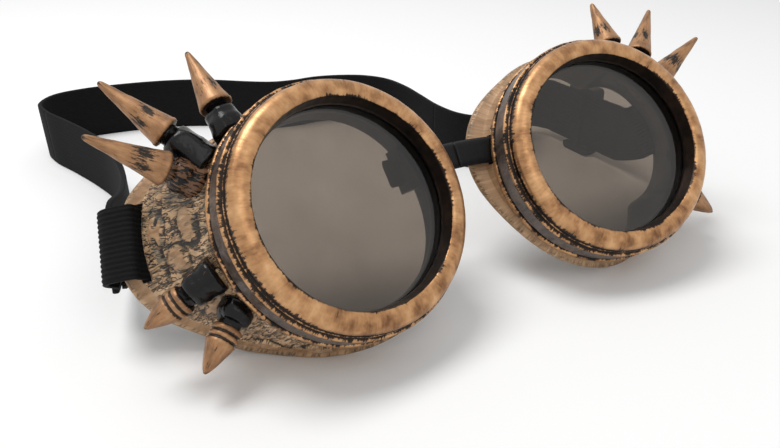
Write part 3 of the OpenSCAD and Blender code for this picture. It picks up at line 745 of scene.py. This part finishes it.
def build_studs(name):
    """The short bullet-shaped studs, with two grooves round their foot."""
    bullet_start = 3.6
    for key, place in SHORT_SPIKES.items():
        profile = [(0, STUD_LEN, 0.4), (0.3, STUD_LEN - 0.08, 0.3)]
        for k in range(13):
            t = 0.9 * (1 - k / 12)
            profile.append(((STUD_R - 0.05) * (1 - t) ** 0.8 + 0.3 * t,
                            bullet_start + (STUD_LEN - bullet_start) * t, 0.66))
        profile += [(STUD_R - 0.4, 3.2, -0.2), (STUD_R - 0.42, 2.9, -0.4), (STUD_R - 0.1, 2.65, 0.7),
                    (STUD_R, 2.3, 0.85), (STUD_R - 0.05, 1.95, 0.6), (STUD_R - 0.42, 1.65, -0.4),
                    (STUD_R - 0.42, 1.4, -0.4), (STUD_R - 0.05, 1.15, 0.7), (STUD_R, 0.7, 0.85),
                    (STUD_R - 0.15, 0.2, 0.4), (STUD_R - 0.4, 0, -0.3), (0, 0.02, -0.8)]
        lathe(f"{name}_{key}_bullet", profile, spike_matrix(name, place), name + "_eye", M_SPIKE,
              steps=SPIKE_STEPS, dent=0.07, slot="copper_spike", stands_for=(f"{name}_{key}",), seed=place[3])


def build_posts(name):
    """The uneven posts that carry the spikes and studs, with a thin neck at each one's foot."""
    for key, place in {**LONG_SPIKES, **SHORT_SPIKES}.items():
        at = math.degrees(math.atan2(place[1], place[0]))
        root = (math.hypot(place[0], place[1]) + 1.2 - wall_radius(at, place[2])) / cos(place[4])
        rings, grain = [], []
        lengths = [(NECK_R, 0.0), (NECK_R, -NECK_LEN), (POST_R - 0.7, -NECK_LEN - 0.1),
                   (POST_R - 0.15, -NECK_LEN - 0.5), (POST_R + 0.05, -NECK_LEN - 1.2)]
        lengths += [(POST_R + 0.1 + 0.5 * k / 8, -NECK_LEN - 1.2 - (root - NECK_LEN - 1.2) * k / 8)
                    for k in range(1, 9)]
        lengths += [(0.0, -root - 0.01)]
        for i in range(POST_STEPS):
            a = 360 * i / POST_STEPS
            ring = []
            for r, z in lengths:
                facet = 0.32 * abs(math.sin(math.radians(3 * a + place[3]))) if r > NECK_R + 0.2 else 0
                lump = 0.45 * wobble(cos(a) * 1.1, sin(a) * 1.1, z / 2.0, place[3]) if r > NECK_R else 0
                radius = max(0, r - facet * 0.8 + lump * min(1, r))
                ring.append((radius * cos(a), radius * sin(a), z))
            rings.append(ring)
            grain.append([(POST_GRAIN_R * cos(a), POST_GRAIN_R * sin(a), z) for _, z in lengths])
        rings = [[behind_cap(p, place) for p in ring] for ring in rings]
        skin(f"{name}_{key}_post", rings, spike_matrix(name, place), name + "_eye",
             M_POST_BROWN if key == "spike_side" else M_POST, grain=grain, slot="copper_paint")


def paint_solid(node, material):
    """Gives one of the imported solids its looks."""
    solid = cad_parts[node]
    solid.data.materials.clear()
    solid.data.materials.append(material)
    return solid


for cup_name in SIDES:
    build_wall(cup_name)
    build_collar(cup_name)
    build_cap(cup_name)
    build_spikes(cup_name)
    build_studs(cup_name)
    build_posts(cup_name)
    paint_solid(cup_name + "_lens", M_LENS)
    paint_solid(cup_name + "_gasket", M_GASKET)
    paint_solid(cup_name + "_bridge_stop", M_BLACK)


# ---------------------------------------------------------------- strap and nose strip
def unit(v):
    """The vector at length 1."""
    v = np.array(v, float)
    return v / np.linalg.norm(v)


def curve(points, n):
    """Points on a smooth curve through the given ones, with n steps between each two."""
    p = [np.array(q, float) for q in points]
    out = []
    for i in range(len(p) - 1):
        a, b, c, d = p[max(i - 1, 0)], p[i], p[i + 1], p[min(i + 2, len(p) - 1)]
        for t in np.arange(n) / n:
            out.append(b + t * (c - a) / 2 + t ** 2 * (a - 2.5 * b + 2 * c - d / 2)
                       + t ** 3 * (-a + 3 * b - 3 * c + d) / 2)
    return out + [p[-1]]


def ribbon(name, path, wide, widths, thickness, material, ribs=0, rib_depth=0.0, first=0, last=None,
           edge=0.35, **more):
    """Flat band along part of a path, wide along the vectors of wide, with ribs along its length."""
    last = len(path) - 1 if last is None else last
    steps = max(ribs * 6, 8)
    across = np.linspace(-1, 1, steps + 1)
    depth = rib_depth * (0.5 - 0.5 * np.cos(math.pi * ribs * (across + 1)))
    rings, grain = [], []
    length = 0.0
    for i in range(len(path)):
        length += np.linalg.norm(path[i] - path[i - 1]) if i else 0
        if not first <= i <= last:
            continue
        ahead = unit(path[min(i + 1, len(path) - 1)] - path[max(i - 1, 0)])
        w = unit(wide[i])
        v = unit(np.cross(ahead, w))
        half, thick = widths[i] / 2, thickness / 2
        face = [(half * u, thick - d - edge * max(0, (abs(u) * half - half + edge) / edge) ** 2)
                for u, d in zip(across, depth)]
        section = face + [(-u, -h) for u, h in face]
        rings.append([path[i] + w * x + v * y for x, y in section])
        grain.append([(length, x, y) for x, y in section])
    return skin(name, rings, more.pop("matrix", Matrix.Identity(4)), more.pop("body", None), material,
                close_u=False, close_v=True, grain=grain, caps=True, **more)


def cup_point(side, x, y, depth):
    """A point in a cup's own millimetres, in the row frame's."""
    return np.array(CUP["left" if side < 0 else "right"] @ Vector((x, y, -depth)))


# The source's curve has CURVE_STEPS between two points, of which TURN_STEPS turn the strap upright behind a
# cup, and each of them has FINE steps here
TURN_STEPS, CURVE_STEPS, FINE = 8, 3, 4
# The slider's place across, and how far it lifts the strap off the table
SLIDER_X, SLIDER_LIFT = 90.0, 2.9
# The strap's lower edge: across, back from the lenses, height
LEFT_ROUTE = [(-82.9, 47, 6.8), (-78.4, 61, 3.2), (-75.6, 77, 0.7), (-74.9, 92, 0), (-76.1, 108, 0),
              (-79.9, 123, 0), (-85, 138, 0)]
BACK_ROUTE = [(-89.8, 151, 0), (-91, 162.5, 0), (-85, 171.5, 0), (-74, 174.3, 0), (-62, 173.8, 0),
              (-49, 171.6, 0), (-36, 167.5, 0), (-24.5, 161, 0), (-14, 153, 0), (-5, 147.4, 0),
              (4, 145.6, 0), (14, 145.8, 0), (24, 143, 0), (33, 137.5, 0), (38.8, 128.5, 0),
              (40.4, 116, 0), (39.8, 103, 0)]
RIGHT_ROUTE = [(39, 90, 0), (40.6, 78.6, 0), (46, 71.4, 0), (54, 70.8, 0), (63, 75.5, 0), (71, 83, 0.6),
               (78, 90, 1.8), (85.5, 91.5, SLIDER_LIFT)]
RIGHT_ROUTE += [(SLIDER_X, y, SLIDER_LIFT) for y in (85, 82, 70, 58, 49)]
RIGHT_ROUTE += [(SLIDER_X - 0.2, 46, SLIDER_LIFT + 0.3)]

# The loop round a cup's bar, as radius and depth at the temple's angle, from the run to the tail
rim = np.array([rear_radius(TEMPLE_ANGLE), rear_depth(TEMPLE_ANGLE)])
along_wall = unit(rim - np.array(wall_point(TEMPLE_ANGLE, 0.8)))
outside = np.array([along_wall[1], -along_wall[0]])
slot_at = rim - along_wall * (BAR_W + SLOT_W / 2)
tail_x, tail_depth = rim[0] - 0.4, rim[1] + TAIL_LEN
LOOP = curve([
    (tail_x, tail_depth), (tail_x + 0.2, tail_depth - 2), rim + [1.3, 2.8], rim + [2.6, 0.6],
    rim + [2.7, -1.9], rim + [1.5, -4.2], slot_at + outside * 2.4,
    slot_at + outside * 0.6 - along_wall * 0.1, slot_at - outside * 1.6,
    slot_at - outside * 4 + along_wall * 0.7, slot_at - outside * 5.5 + along_wall * 3.2,
    rim - along_wall * 1.9 - outside * (WALL_T + 2.9), rim + [-3.5, 2.3],
    (tail_x - STRAP_T - 0.35, tail_depth - 2), (tail_x - STRAP_T - 0.3, tail_depth)], 8)


def tail_point(side, depth):
    """Where a run starts at a cup."""
    return cup_point(side, tail_x * cos(TEMPLE_ANGLE), tail_x * sin(TEMPLE_ANGLE), depth)


def tail_wide(side):
    """The way across the strap where a run starts at a cup."""
    flat = CUP["left" if side < 0 else "right"].to_3x3()
    return np.array(flat @ Vector((-sin(TEMPLE_ANGLE), cos(TEMPLE_ANGLE), 0)))


def build_strap():
    """The three runs of the strap, cut from one path as in the source, and a loop round each cup's bar."""
    mid = STRAP_W / 2
    route = [(x, y + EYE_Y, mid + lift) for x, y, lift in LEFT_ROUTE + BACK_ROUTE + RIGHT_ROUTE]
    points = ([tail_point(-1, tail_depth), tail_point(-1, tail_depth + 2)] + route
              + [tail_point(1, tail_depth + 2), tail_point(1, tail_depth)])
    path = curve(points, CURVE_STEPS * FINE)
    last = len(path) - 1
    wide, widths = [], []
    for i, p in enumerate(path):
        side, near = (-1, i) if i < last / 2 else (1, last - i)
        t = ease(min(1, near / (TURN_STEPS * FINE)))
        wide.append(unit(tail_wide(side) * (1 - t) + np.array([0, 0, 1]) * t))
        widths.append(FOLD_W + (STRAP_W - FOLD_W) * t)
        p[2] = max(p[2], widths[-1] / 2 * wide[-1][2])
    left_cut = (2 + len(LEFT_ROUTE)) * CURVE_STEPS * FINE
    right_cut = (2 + len(LEFT_ROUTE) + len(BACK_ROUTE)) * CURVE_STEPS * FINE
    looks = dict(ribs=STRAP_RIBS, rib_depth=RUN_RIB_DEPTH, slot="elastic")
    left = ribbon("left_strap_band", path, wide, widths, STRAP_T, M_ELASTIC, last=left_cut,
                  stands_for=("left_strap_run",), **looks)
    ribbon("back_strap_band", path, wide, widths, STRAP_T, M_ELASTIC, first=left_cut, last=right_cut,
           body="bridge", stands_for=("back_strap_run",), **looks)
    right = ribbon("right_strap_band", path, wide, widths, STRAP_T, M_ELASTIC, first=right_cut,
                   stands_for=("right_strap_run",), **looks)
    # The two side runs have their placement baked into their meshes
    bend_start, bend_end, slider_front = -39.0, 50.0, -21.0
    for band, side, end in ((left, "left", bend_end), (right, "right", slider_front)):
        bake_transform(band)
    looks["rib_depth"] = LOOP_RIB_DEPTH
    for name in SIDES:
        loop = [np.array((p[0] * cos(TEMPLE_ANGLE), p[0] * sin(TEMPLE_ANGLE), -p[1])) for p in LOOP]
        upright = [(-sin(TEMPLE_ANGLE), cos(TEMPLE_ANGLE), 0)] * len(loop)
        ribbon(name + "_strap_fold", loop, upright, [FOLD_W] * len(loop), STRAP_T, M_ELASTIC,
               body=name + "_eye", matrix=CUP[name], stands_for=(name + "_strap_end",), **looks)


def build_nose_strip():
    """The strip between the cups, in two mirrored halves that bend from the cup to the middle."""
    bend = cup_point(-1, -31, STRIP_UP, STRIP_DEPTH)
    temple = np.array(CUP["left"].to_3x3() @ Vector((1, 0, 0)))
    top = bend - temple * (bend[0] / temple[0])
    arc = [(1 - t) ** 2 * bend + 2 * t * (1 - t) * top + t * t * bend * [-1, 1, 1]
           for t in np.linspace(0, 0.5, 13)]
    straight = (STRIP_TAIL - COLLAR_BORE, -20, -24, -26, -28, -30)
    path = [cup_point(-1, x, STRIP_UP, STRIP_DEPTH) for x in straight] + arc
    up = np.array(CUP["left"].to_3x3() @ Vector((0, 1, 0)))
    wide = [up * [max(-1, min(1, p[0] / bend[0])), 1, 1] for p in path]
    for name, side in SIDES.items():
        flip = np.array([-side, 1, 1])
        half = [p * flip for p in path]
        piece = ribbon(name + "_nose_strip", half, [w * flip for w in wide], [STRIP_W] * len(path), STRIP_T,
                       M_STRIP, edge=0.5, slot="bridge_rubber", stands_for=("bridge_strip",))
        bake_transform(piece)


build_strap()
build_nose_strip()
slider = paint_solid("strap_slider", M_BLACK)
bevel = slider.modifiers.new("bevel", "BEVEL")
bevel.width, bevel.segments, bevel.limit_method = 0.3 * MM, 3, "ANGLE"


# ---------------------------------------------------------------- floor, light and camera
WHITE, WORLD_LIGHT = (0.97, 0.97, 0.965), (0.57, 0.573, 0.576)
# Round lamps: place and aim in metres, width, power
LAMPS = {
    "key": ((-0.24, 0.16, 0.84), (-0.02, -0.03, 0.02), 0.45, 4.0),
    "front": ((0.0, -0.6, 0.7), (0, -0.1, 0.02), 0.5, 0.7),
}
# The photo's camera, solved from the outlines of the two lenses: place in metres, heading and height
CAMERA_PLACE = (-0.0953, -0.1994, 0.0653 + EYE_HEIGHT * MM)
CAMERA_AZIMUTH, CAMERA_ELEVATION, CAMERA_LENS, CAMERA_SENSOR = -28.59, 28.0, 31.85, 36


def build_studio():
    """A white floor under a white surround, two soft lamps and the photo's camera."""
    scene = bpy.context.scene
    scene.view_settings.view_transform = "Standard"
    mesh = bpy.data.meshes.new("floor")
    reach = 3
    mesh.from_pydata([(-reach, -reach, 0), (reach, -reach, 0), (reach, reach, 0), (-reach, reach, 0)], [],
                     [(0, 1, 2, 3)])
    floor = bpy.data.objects.new("floor", mesh)
    scene.collection.objects.link(floor)
    floor.location.z = -0.05 * MM
    paint = new_material("floor", Base_Color=(*WHITE, 1), Roughness=0.9, Specular_IOR_Level=0.0)[0]
    mesh.materials.append(paint)
    world = bpy.data.worlds.new("world")
    scene.world = world
    world.use_nodes = True
    nodes, links = world.node_tree.nodes, world.node_tree.links
    background = nodes["Background"]
    path = nodes.new("ShaderNodeLightPath")
    seen = math_node(nodes, links, "MAXIMUM", path.outputs["Is Camera Ray"], path.outputs["Is Glossy Ray"])
    seen = math_node(nodes, links, "MAXIMUM", seen, path.outputs["Is Transmission Ray"])
    links.new(mix_node(nodes, links, seen, WORLD_LIGHT, WHITE), background.inputs["Color"])
    for name, (place, aim, size, power) in LAMPS.items():
        light = bpy.data.lights.new(name, "AREA")
        light.shape, light.size, light.energy = "DISK", size, power
        lamp = bpy.data.objects.new(name, light)
        lamp.location = place
        lamp.rotation_euler = (Vector(place) - Vector(aim)).to_track_quat("Z", "Y").to_euler()
        scene.collection.objects.link(lamp)
    camera = bpy.data.objects.new("camera", bpy.data.cameras.new("camera"))
    camera.data.lens, camera.data.sensor_width = CAMERA_LENS, CAMERA_SENSOR
    level = cos(CAMERA_ELEVATION)
    back = Vector((sin(CAMERA_AZIMUTH) * level, -cos(CAMERA_AZIMUTH) * level, sin(CAMERA_ELEVATION)))
    camera.location = CAMERA_PLACE
    camera.rotation_euler = back.to_track_quat("Z", "Y").to_euler()
    camera.data.clip_start = 0.01
    scene.collection.objects.link(camera)
    scene.camera = camera


build_studio()
